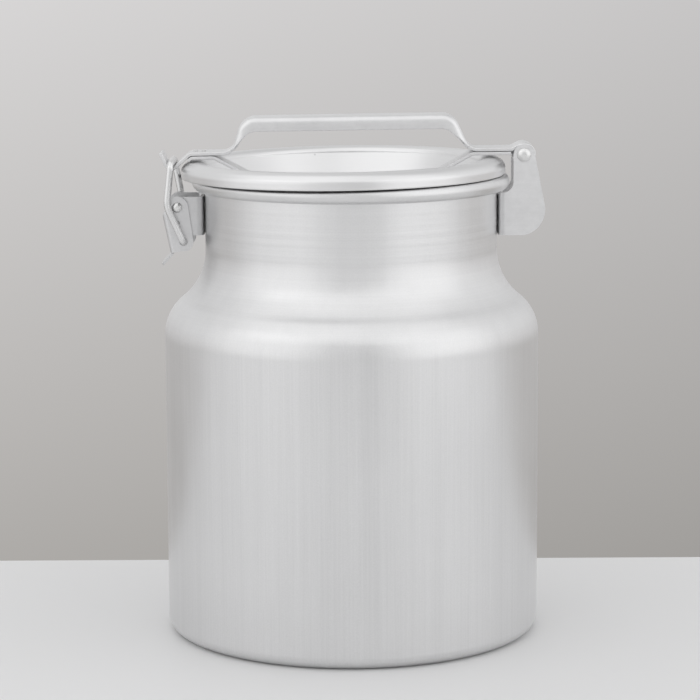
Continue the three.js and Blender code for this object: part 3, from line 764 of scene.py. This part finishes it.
# ---- straps ----
HOOK_IN = 6 * MM              # strap leaves the level this far inside the lid's rim
HOOK_OUT = 12.7 * MM          # from there out to the valley of the hook
HOOK_FALL = 11 * MM           # and down to it
LIP_OUT = 5.2 * MM            # tip of the hook's lip beyond the valley
LIP_RISE = 12 * MM            # and above it
GRIP_RUNS = (5.6 * MM, 9.2 * MM)    # how far the grip's slopes run in as they rise, latch side and hinge side
GRIP_BENDS = (9.5 * MM, 10.7 * MM, 10 * MM, 9 * MM)
CURL_START = 120              # strap meets the curl here, in degrees up from the hinge side
CURL_END = -170
FLANGE_START = 0.02           # flange starts at this share of the grip's height
FLANGE_FULL = 0.35            # and stands square from this one
BAR_REACH = 78.5 * MM         # cross bar goes down from here, either side of the lid's middle
BAR_FLAT = 36 * MM            # and lies on the dish floor up to here
BAR_END = 2.2 * MM            # its latch end follows the hook's slope this far
PIP_IN = 5.6 * MM             # middle of the two strap rivets from the bend down to the hook
PIP_APART = 2.5 * MM          # each from their middle
BAR_RIVET_APART = 22 * MM     # each rivet in the dish from the lid's middle


def hook_points(lid, straps):
    """The latch end of the strap: the tip of the hook's lip, the valley, and where it leaves the level."""
    slope = at(-lid.rim - lid.shift + HOOK_IN, HINGE.z + straps.rise)
    valley = slope + at(-HOOK_OUT, -HOOK_FALL)
    lip = valley + at(-LIP_OUT, LIP_RISE)
    return lip, valley, slope


def strap_line(lid, straps):
    """The middle of the handle strap from the hook's lip, over the grip, to the curl round the sleeve."""
    lip, valley, slope = hook_points(lid, straps)
    level = HINGE.z + straps.rise
    top = level + straps.grip_rise
    meet = HINGE + at(straps.curl * cos(radians(CURL_START)), straps.curl * sin(radians(CURL_START)))
    foot = at(meet.x - (meet.z - level) / tan(radians(CURL_START - 90)), level)
    left = straps.grip_left - lid.rim - lid.shift
    right = HINGE.x - straps.grip_right
    left_run, right_run = GRIP_RUNS
    points = [lip, valley, slope, at(left, level), at(left + left_run, top), at(right - right_run, top),
              at(right, level), foot, meet]
    hook_bend = 5 * MM
    curl_bend = 4 * MM
    bends = [straps.hook_fillet, hook_bend, *GRIP_BENDS, curl_bend]
    return rounded(points, bends) + arc(HINGE.x, HINGE.z, straps.curl, CURL_START, CURL_END, 8)[1:]


def divided(line, longest):
    """The same line with its long stretches cut into shorter ones."""
    fine = [line[0]]
    for start, end in zip(line, line[1:]):
        count = max(1, ceil((end - start).length / longest))
        fine += [start.lerp(end, i / count) for i in range(1, count + 1)]
    return fine


def smooth_step(low, high, value):
    t = min(max((value - low) / (high - low), 0.0), 1.0)
    return t * t * (3 - 2 * t)


def fold_flanges(bm, line, straps):
    """Turn the strap's edges down along the grip, running out to nothing down the two slopes."""
    level = HINGE.z + straps.rise
    bend_y = GRIP_HALF - straps.sheet / 2 - straps.flange_bend
    plain = STRAP_HALF - bend_y
    straight = straps.flange - straps.sheet / 2 - straps.flange_bend
    full = straps.flange_bend * RIGHT_ANGLE + straight
    row = bm.verts.layers.int["row"]
    for vert in bm.verts:
        i = vert[row]
        past = abs(vert.co.y) - bend_y
        if past <= 0:
            continue
        along = line[min(i + 1, len(line) - 1)] - line[max(i - 1, 0)]
        down = ACROSS.cross(along).normalized()
        height = (line[i].z - level) / straps.grip_rise
        reach = past / full * (plain + (full - plain) * smooth_step(FLANGE_START, 1.0, height))
        side = ACROSS if vert.co.y > 0 else -ACROSS
        limit = RIGHT_ANGLE * smooth_step(FLANGE_START, FLANGE_FULL, height)
        vert.co += side * (reach - past) + rolled(reach, straps.flange_bend, limit, side, down)


def flange_columns(straps):
    """Places across the strap, close together where its edges are folded."""
    bend_y = GRIP_HALF - straps.sheet / 2 - straps.flange_bend
    straight = straps.flange - straps.sheet / 2 - straps.flange_bend
    arc_length = straps.flange_bend * RIGHT_ANGLE
    steps = 7
    half = [bend_y * i / 2 for i in range(3)] + [bend_y + arc_length * i / steps for i in range(1, steps + 1)]
    half += [half[-1] + straight / 2, half[-1] + straight]
    return [-y for y in reversed(half[1:])] + half


def cross_bar_line(lid, straps):
    """The cross bar: under the hook, across the crown, down into the dish and up to the hinge."""
    _, _, floor_z = lid_levels(lid)
    slope = hook_points(lid, straps)[2]
    fall = HOOK_FALL / HOOK_OUT
    level = slope.z - straps.sheet - GAP
    foot = floor_z + straps.sheet / 2 + GAP
    start = at(slope.x + (straps.sheet + GAP) * tan(atan(fall) / 2), level)
    middle = -lid.shift
    far = HINGE.x - straps.curl - straps.sheet / 2 - GAP - 0.1 * MM
    points = [
        start + at(-BAR_END, -BAR_END * fall),
        start,
        at(middle - BAR_REACH, level),
        at(middle - BAR_FLAT, foot),
        at(middle + BAR_FLAT, foot),
        at(middle + BAR_REACH, level),
        at(far, level),
    ]
    end_bend = 3 * MM
    bend = 6 * MM
    return rounded(points, [end_bend, bend, bend, bend, bend])


class MILKCAN_OT_straps(bpy.types.Operator):
    """Bend the handle strap and the cross bar, and rivet them to the lid"""
    bl_idname = "milkcan.straps"
    bl_label = "Handle and cross bar"

    def execute(self, context):
        lid = context.scene.milk_can.lid
        straps = context.scene.milk_can.straps
        turn = lid_turn(lid)
        edge = 0.45 * MM

        line = divided(strap_line(lid, straps), 3 * MM)
        handle = ribbon(line, flange_columns(straps))
        fold_flanges(handle, line, straps)
        handle.transform(turn)
        finished(handle, "handle", "lid", "sheet_aluminium", ["handle_strap"], straps.sheet, edge)

        bar = ribbon(cross_bar_line(lid, straps), [-STRAP_HALF, 0, STRAP_HALF])
        bar.transform(turn)
        finished(bar, "bar", "lid", "sheet_aluminium", ["cross_bar"], straps.sheet, edge)

        _, _, floor_z = lid_levels(lid)
        top = HINGE.z + straps.rise + straps.sheet / 2 + GAP
        low = HINGE.z + straps.rise - straps.sheet * 1.5 - 2 * GAP
        foot = floor_z - lid.wall - GAP
        head = floor_z + straps.sheet + 2 * GAP
        middle = hook_points(lid, straps)[2].x + PIP_IN
        for number, side in ((1, -1), (2, 1)):
            pip = riveted(STRAP_PIP, top - low)
            pip.transform(turn @ Matrix.Translation((middle + side * PIP_APART, 0, low)))
            finished(pip, f"strap_pip_{number}", "lid", "rivet", [f"strap_rivet_{number}"])
            rivet = riveted(BAR_RIVET, head - foot)
            rivet.transform(turn @ Matrix.Translation((side * BAR_RIVET_APART - lid.shift, 0, foot)))
            finished(rivet, f"dish_rivet_{number}", "lid", "rivet", [f"cross_bar_rivet_{number}"])
        return {"FINISHED"}


# ---- brackets ----
FLARE_HEEL = 1.5 * MM         # middle of the hinge bracket's flared foot, in from the pin
FLARE_RISE = 16.5 * MM        # height of the flare's widest place above the foot
LATCH_SLOPE = (2 * MM, 11 * MM)    # how far the latch cheek's lower edge slopes out, and up
LATCH_CORNER = 4.2 * MM       # corner radius at the latch cheek's top
RIVET_HEIGHTS = (("lower", 0.27), ("upper", 0.75))    # as a share of the bracket's height


def hinge_outline(can, size):
    """Half of the hinge bracket's blank: half the web, and a cheek with its ear and its flared foot."""
    web = WEB_X + size.sheet / 2
    half = HINGE_HALF - size.sheet / 2
    rim_r = NECK_R - can.wall + can.rim_tube
    rim_z = RIM_TOP - can.rim_tube
    around_rim = HINGE.x - size.ear - rim_r
    past_web = degrees(acos((web - rim_r) / around_rim))
    flare_x = HINGE.x - FLARE_HEEL
    cheek = [
        *oval(flare_x, HINGE_LOW + FLARE_RISE, FLARE_X - flare_x, FLARE_RISE, -88, 0),
        *arc(HINGE.x, HINGE.z, size.ear, 10, 180, 7),
        *arc(rim_r, rim_z, around_rim, 0, -past_web, 7),
    ]
    flat = [at(unrolled(p.x - web, half, size.bend), p.z) for p in cheek]
    return [at(0, HINGE_LOW), *flat, at(half - size.bend, BRACKET_TOP), at(0, BRACKET_TOP)]


def latch_outline(size):
    """Half of the latch bracket's blank."""
    web = WEB_X + size.sheet / 2
    half = LATCH_HALF - size.sheet / 2
    out = -LEVER.x
    slope_out, slope_up = LATCH_SLOPE
    cheek = [at(out - slope_out, LATCH_LOW), at(out + slope_out, LATCH_LOW + slope_up),
             *arc(out, BRACKET_TOP - LATCH_CORNER, LATCH_CORNER, 0, 90, 10)]
    flat = [at(unrolled(p.x - web, half, size.bend), p.z) for p in cheek]
    return [at(0, LATCH_LOW), *flat, at(0, BRACKET_TOP)]


def bracket_rivets(name, side, low, piece_name):
    """The two rivets through a bracket's web and the neck."""
    can = bpy.context.scene.milk_can.can
    size = bpy.context.scene.milk_can.brackets
    wall_in = NECK_R - can.wall
    inner = sqrt(wall_in ** 2 - BRACKET_RIVET.head ** 2) - GAP
    height = BRACKET_TOP - low
    for place, share_up in RIVET_HEIGHTS:
        bm = riveted(BRACKET_RIVET, WEB_X + size.sheet + GAP - inner)
        turn = Matrix.Rotation(RIGHT_ANGLE * side, 4, "Y")
        bm.transform(Matrix.Translation((side * inner, 0, low + share_up * height)) @ turn)
        finished(bm, f"{piece_name}_{place}", "can", "rivet", [f"{name}_{place}"])


class MILKCAN_OT_hinge(bpy.types.Operator):
    """Fold the hinge bracket and fit its pin, sleeve and rivets"""
    bl_idname = "milkcan.hinge"
    bl_label = "Hinge"

    def execute(self, context):
        settings = context.scene.milk_can
        size = settings.brackets
        half = HINGE_HALF - size.sheet / 2
        outline = hinge_outline(settings.can, size)
        bracket = channel(outline, at(WEB_X + size.sheet / 2, 0), UP, at(1, 0), half, size.bend)
        finished(bracket, "hinge_plate", "can", "sheet_aluminium", ["hinge_bracket"], size.sheet, 0.35 * MM)

        lying = Matrix.Translation(HINGE) @ Matrix.Rotation(-RIGHT_ANGLE, 4, "X")
        reach = HINGE_HALF + GAP
        pin = riveted(HINGE_PIN, 2 * reach)
        pin.transform(lying @ Matrix.Translation((0, 0, -reach)))
        finished(pin, "pin", "can", "rivet", ["hinge_pin"])

        inner = HINGE_PIN.shank + RUNNING
        outer = settings.straps.curl - settings.straps.sheet / 2 - RUNNING
        end = HINGE_HALF - size.sheet - GAP
        ring = [at(inner, -end), at(outer, -end), at(outer, end), at(inner, end), at(inner, -end)]
        sleeve = spun(ring, 48)
        sleeve.transform(lying)
        finished(sleeve, "sleeve", "can", "sheet_aluminium", ["hinge_sleeve"], edge=0.25 * MM)
        bracket_rivets("hinge_bracket_rivet", 1, HINGE_LOW, "hinge_rivet")
        return {"FINISHED"}


# ---- latch: places are given from the lever's pin ----
LEVER_WEB_TOP = Vector((-8.8 * MM, 0, -6.1 * MM))
LEVER_WEB_LOW = Vector((-4.3 * MM, 0, -28.2 * MM))
LEVER_FOOT_R = 6 * MM         # lever's cheek round the bail's eye
LEVER_EAR_R = 6.7 * MM        # and round its pin
LEVER_LIP = 10 * MM           # length of the lip turned out for the thumb
LEVER_LIP_BEND = 1.6 * MM     # its bend radius
LEVER_LIP_TURN = 54.5         # and how far it is turned, in degrees
SPY_HOLE = Vector((0.4 * MM, 0, -9.3 * MM))
SPY_HOLE_R = 1.2 * MM
EYE_PLAY = 0.45 * MM          # hole in the lever round the wire
BAIL_NEAR = Vector((-6.2 * MM, 0, 1.4 * MM))    # elbow of the bail's front leg
BAIL_FAR = Vector((0.2 * MM, 0, 7.5 * MM))      # and of its back leg
BAIL_BENDS = (2.6 * MM, 14 * MM, 4 * MM)        # at the eye, the elbow and the hook


def lever_blank(size):
    """The lever's blank and the frame it is folded in: origin, up the web, and into the channel."""
    web_top = LEVER + LEVER_WEB_TOP
    web_low = LEVER + LEVER_WEB_LOW
    up = (web_top - web_low).normalized()
    into = at(up.z, -up.x)
    origin = web_low + into * (size.lever_sheet / 2)
    half = LEVER_HALF - size.lever_sheet / 2
    flat_half = half - size.lever_bend

    def place(point):
        away = point - origin
        return at(unrolled(away.dot(into), half, size.lever_bend), away.dot(up))

    foot = arc(BAIL_EYE.x, BAIL_EYE.z, LEVER_FOOT_R, -100, 0, 8)
    ear = arc(LEVER.x, LEVER.z, LEVER_EAR_R, 8, 184, 8)
    lip_in = 1 * MM
    corner = 2.5 * MM
    lip_half = flat_half - lip_in
    lip = [at(0, -LEVER_LIP), *arc(lip_half - corner, corner - LEVER_LIP, corner, -90, 0, 15),
           at(lip_half, -0.8 * MM), at(flat_half, 0.4 * MM)]
    height = (web_top - web_low).length
    outline = [*lip, *[place(p) for p in foot + ear], at(flat_half, height), at(0, height)]
    eye = place(BAIL_EYE)
    spy = place(LEVER + SPY_HOLE)
    holes = [(eye.x, eye.z, size.wire + EYE_PLAY), (spy.x, spy.z, SPY_HOLE_R)]
    return outline, holes, origin, up, into


def hook_seat(lid, straps):
    """Where the bail's cross wire lies in the hook of the closed lid."""
    lip, valley, slope = hook_points(lid, straps)
    back = (lip - valley).normalized()
    on = (slope - valley).normalized()
    seat = valley + (back + on).normalized() * (straps.hook_fillet / sin(back.angle(on) / 2))
    return lid_turn(lid) @ seat


def bail_path(settings):
    """The bail's wire, from one end inside the lever, over the hook, to the other."""
    size = settings.brackets
    top = hook_seat(settings.lid, settings.straps)
    near = LEVER + BAIL_NEAR
    far = LEVER + BAIL_FAR
    leg = LEVER_HALF + GAP + size.wire
    tip = LATCH_HALF - 0.8 * MM
    corners = [
        at(BAIL_EYE.x, BAIL_EYE.z, -tip),
        at(BAIL_EYE.x, BAIL_EYE.z, -leg),
        at(near.x, near.z, -leg),
        at(top.x, top.z, -leg),
        at(top.x, top.z, leg),
        at(far.x, far.z, leg),
        at(BAIL_EYE.x, BAIL_EYE.z, leg),
        at(BAIL_EYE.x, BAIL_EYE.z, tip),
    ]
    return rounded(corners, BAIL_BENDS + BAIL_BENDS[::-1], 7)


class MILKCAN_OT_latch(bpy.types.Operator):
    """Fold the latch bracket and lever, and bend the bail that pulls the lid down"""
    bl_idname = "milkcan.latch"
    bl_label = "Latch"

    def execute(self, context):
        settings = context.scene.milk_can
        size = settings.brackets
        half = LATCH_HALF - size.sheet / 2
        web = at(-WEB_X - size.sheet / 2, 0)
        bracket = channel(latch_outline(size), web, UP, at(-1, 0), half, size.bend)
        # The latch bracket's finish is the sheet colour painted darker as shade.
        finished(bracket, "latch_plate", "can", "sheet_aluminium", ["latch_bracket"], size.sheet, 0.35 * MM,
                 look="latch_shaded_sheet finish")
        bracket_rivets("latch_bracket_rivet", -1, LATCH_LOW, "latch_rivet")

        outline, holes, origin, up, into = lever_blank(size)
        lever = blank(outline, origin, up, holes)
        fold(lever, origin, -up, -into, LEVER_LIP_BEND, radians(LEVER_LIP_TURN))
        flat_half = LEVER_HALF - size.lever_sheet / 2 - size.lever_bend
        for side in (-1, 1):
            start = origin + ACROSS * (side * flat_half)
            fold(lever, start, ACROSS * side, into, size.lever_bend, RIGHT_ANGLE)
        # The lever's finish is the sheet colour painted darker as shade.
        finished(lever, "lever_plate", "lever", "sheet_aluminium", ["latch_lever"], size.lever_sheet,
                 0.3 * MM, look="latch_shaded_sheet finish")

        reach = LEVER_HALF + GAP
        pin = riveted(LEVER_PIN, 2 * reach - GAP)
        pin.transform(Matrix.Translation(LEVER - ACROSS * reach) @ Matrix.Rotation(-RIGHT_ANGLE, 4, "X"))
        finished(pin, "lever_rivet", "can", "rivet", ["lever_pin"])

        bail = drawn(bail_path(settings), size.wire)
        finished(bail, "bail_hoop", "bail_wire", "wire", ["bail"], edge=0.3 * MM)
        return {"FINISHED"}


# ---- the stage ----
TABLE_LOW = Vector((-3, -1.15, -0.04))
TABLE_HIGH = Vector((3, 0.164, 0))    # its back edge is the line between table and wall
WALL_ANGLES = (-13.7, -1.5)           # wall grows lighter between these lines of sight, in degrees
OVERHEAD_ANGLES = (1, 12)             # and the room takes over from it between these
SOFTBOXES = (                         # name, place, what it faces, width, height and watts
    ("left softbox", (-1.5, -1.0, 0.7), (0, 0, 0.17), 2.2, 2.0, 4),
    ("right softbox", (1.5, -1.0, 0.7), (0, 0, 0.17), 2.2, 2.0, 4),
    ("top softbox", (-0.15, -0.5, 1.8), (0, -0.1, 0.2), 3.2, 2.4, 7.5),
)
LENS = 139.7                          # in mm, on a 36 mm sensor
CAMERA_PLACE = (-0.00103, -1.6572, 0.4444)
CAMERA_PITCH = 9.316                  # down, in degrees
CAMERA_ROLL = -0.299


def stage_slab(name, low, high, tone):
    """A plain block of the stage."""
    bm = bmesh.new()
    bmesh.ops.create_cube(bm, size=1)
    bmesh.ops.scale(bm, verts=bm.verts, vec=high - low)
    bmesh.ops.translate(bm, verts=bm.verts, vec=(high + low) / 2)
    mesh = bpy.data.meshes.new(name)
    bm.to_mesh(mesh)
    bm.free()
    slab = bpy.data.objects.new(name, mesh)
    bpy.context.scene.collection.objects.link(slab)
    paint = Paint(name, metallic=0.0)
    mesh.materials.append(paint.done(base_color=(*tone, 1), roughness=0.5))


def softbox(name, place, target, width, height, power):
    """A soft rectangular light that faces a point and isn't seen itself."""
    data = bpy.data.lights.new(name, "AREA")
    data.shape = "RECTANGLE"
    data.size = width
    data.size_y = height
    data.energy = power
    light = bpy.data.objects.new(name, data)
    light.location = place
    light.rotation_euler = (Vector(target) - Vector(place)).to_track_quat("-Z", "Y").to_euler()
    light.visible_camera = False
    bpy.context.scene.collection.objects.link(light)


def make_world(settings):
    """A grey room, lighter upwards and towards the window on the left."""
    world = bpy.data.worlds.new("room")
    world.use_nodes = True
    bpy.context.scene.world = world
    tree = world.node_tree
    place = tree.nodes.new("ShaderNodeTexCoord")
    apart = tree.nodes.new("ShaderNodeSeparateXYZ")
    tree.links.new(place.outputs["Generated"], apart.inputs[0])

    def ranged(axis, low, high, to_low, to_high):
        node = tree.nodes.new("ShaderNodeMapRange")
        tree.links.new(apart.outputs[axis], node.inputs["Value"])
        for name, value in (("From Min", low), ("From Max", high), ("To Min", to_low), ("To Max", to_high)):
            node.inputs[name].default_value = value
        return node.outputs[0]

    ramp = tree.nodes.new("ShaderNodeValToRGB")
    ramp.color_ramp.elements[0].color = (*settings.low_wall, 1)
    ramp.color_ramp.elements[1].color = (*settings.high_wall, 1)
    low, high = (sin(radians(angle)) for angle in WALL_ANGLES)
    tree.links.new(ranged("Z", low, high, 0, 1), ramp.inputs[0])

    # The wall stands behind the can. Overhead and in front, the room is lighter.
    low, high = (sin(radians(angle)) for angle in OVERHEAD_ANGLES)
    overhead = ranged("Z", low, high, 0, 1)
    in_front = ranged("Y", 0.2, -0.5, 0, 1)
    either = tree.nodes.new("ShaderNodeMath")
    either.operation = "MAXIMUM"
    tree.links.new(overhead, either.inputs[0])
    tree.links.new(in_front, either.inputs[1])
    mix = tree.nodes.new("ShaderNodeMix")
    mix.data_type = "RGBA"
    factor, wall, room = (mix.inputs[i] for i in (0, 6, 7))
    tree.links.new(either.outputs[0], factor)
    tree.links.new(ramp.outputs[0], wall)
    room.default_value = (*settings.room, 1)
    background = tree.nodes["Background"]
    tree.links.new(mix.outputs[2], background.inputs["Color"])

    # The wall is lighter on the window's side, and the room far to the right is a little brighter.
    strength = tree.nodes.new("ShaderNodeMath")
    strength.operation = "ADD"
    tree.links.new(ranged("X", -0.14, 0.14, 1.09, 0.91), strength.inputs[0])
    tree.links.new(ranged("X", 0.25, 0.7, 0, 0.3), strength.inputs[1])
    tree.links.new(strength.outputs[0], background.inputs["Strength"])


def make_camera():
    """A long lens from the front, a little above the can."""
    data = bpy.data.cameras.new("camera")
    data.sensor_width = 36
    data.lens = LENS
    camera = bpy.data.objects.new("camera", data)
    pitch = radians(CAMERA_PITCH)
    roll = radians(CAMERA_ROLL)
    side = Vector((1, 0, 0))
    up = Vector((0, sin(pitch), cos(pitch)))
    ahead = Vector((0, cos(pitch), -sin(pitch)))
    right = side * cos(roll) + up * sin(roll)
    top = up * cos(roll) - side * sin(roll)
    turn = Matrix((right, top, -ahead)).transposed().to_4x4()
    camera.matrix_world = Matrix.Translation(CAMERA_PLACE) @ turn
    bpy.context.scene.collection.objects.link(camera)
    bpy.context.scene.camera = camera


class MILKCAN_OT_stage(bpy.types.Operator):
    """Set the table, the room, the softboxes and the camera"""
    bl_idname = "milkcan.stage"
    bl_label = "Stage"

    def execute(self, context):
        settings = context.scene.milk_can.stage
        make_camera()
        make_world(settings)
        stage_slab("table", TABLE_LOW, TABLE_HIGH, settings.table)
        for name, place, target, width, height, watts in SOFTBOXES:
            softbox(name, place, target, width, height, watts * settings.key)
        context.scene.view_settings.view_transform = "Standard"
        return {"FINISHED"}


STEPS = (MILKCAN_OT_stage, MILKCAN_OT_can, MILKCAN_OT_lid, MILKCAN_OT_straps, MILKCAN_OT_hinge,
         MILKCAN_OT_latch)


class MILKCAN_PT_sidebar(bpy.types.Panel):
    """The milk can's pieces and sizes"""
    bl_idname = "MILKCAN_PT_sidebar"
    bl_label = "Milk can"
    bl_space_type = "VIEW_3D"
    bl_region_type = "UI"
    bl_category = "Milk can"

    def draw(self, context):
        settings = context.scene.milk_can
        for step in STEPS:
            self.layout.operator(step.bl_idname)
        for group in (settings.can, settings.lid, settings.straps, settings.brackets, settings.finishes,
                      settings.stage):
            box = self.layout.box()
            for name in group.__annotations__:
                box.prop(group, name)


CLASSES = (CanSizes, LidSizes, StrapSizes, BracketSizes, Finishes, StageSettings, MilkCanSettings,
           *STEPS, MILKCAN_PT_sidebar)


def register():
    for each in CLASSES:
        bpy.utils.register_class(each)
    bpy.types.Scene.milk_can = bpy.props.PointerProperty(type=MilkCanSettings)


def unregister():
    del bpy.types.Scene.milk_can
    for each in reversed(CLASSES):
        bpy.utils.unregister_class(each)


def main():
    register()
    for step in STEPS:
        group, name = step.bl_idname.split(".")
        getattr(getattr(bpy.ops, group), name)()


if __name__ == "__main__":
    main()
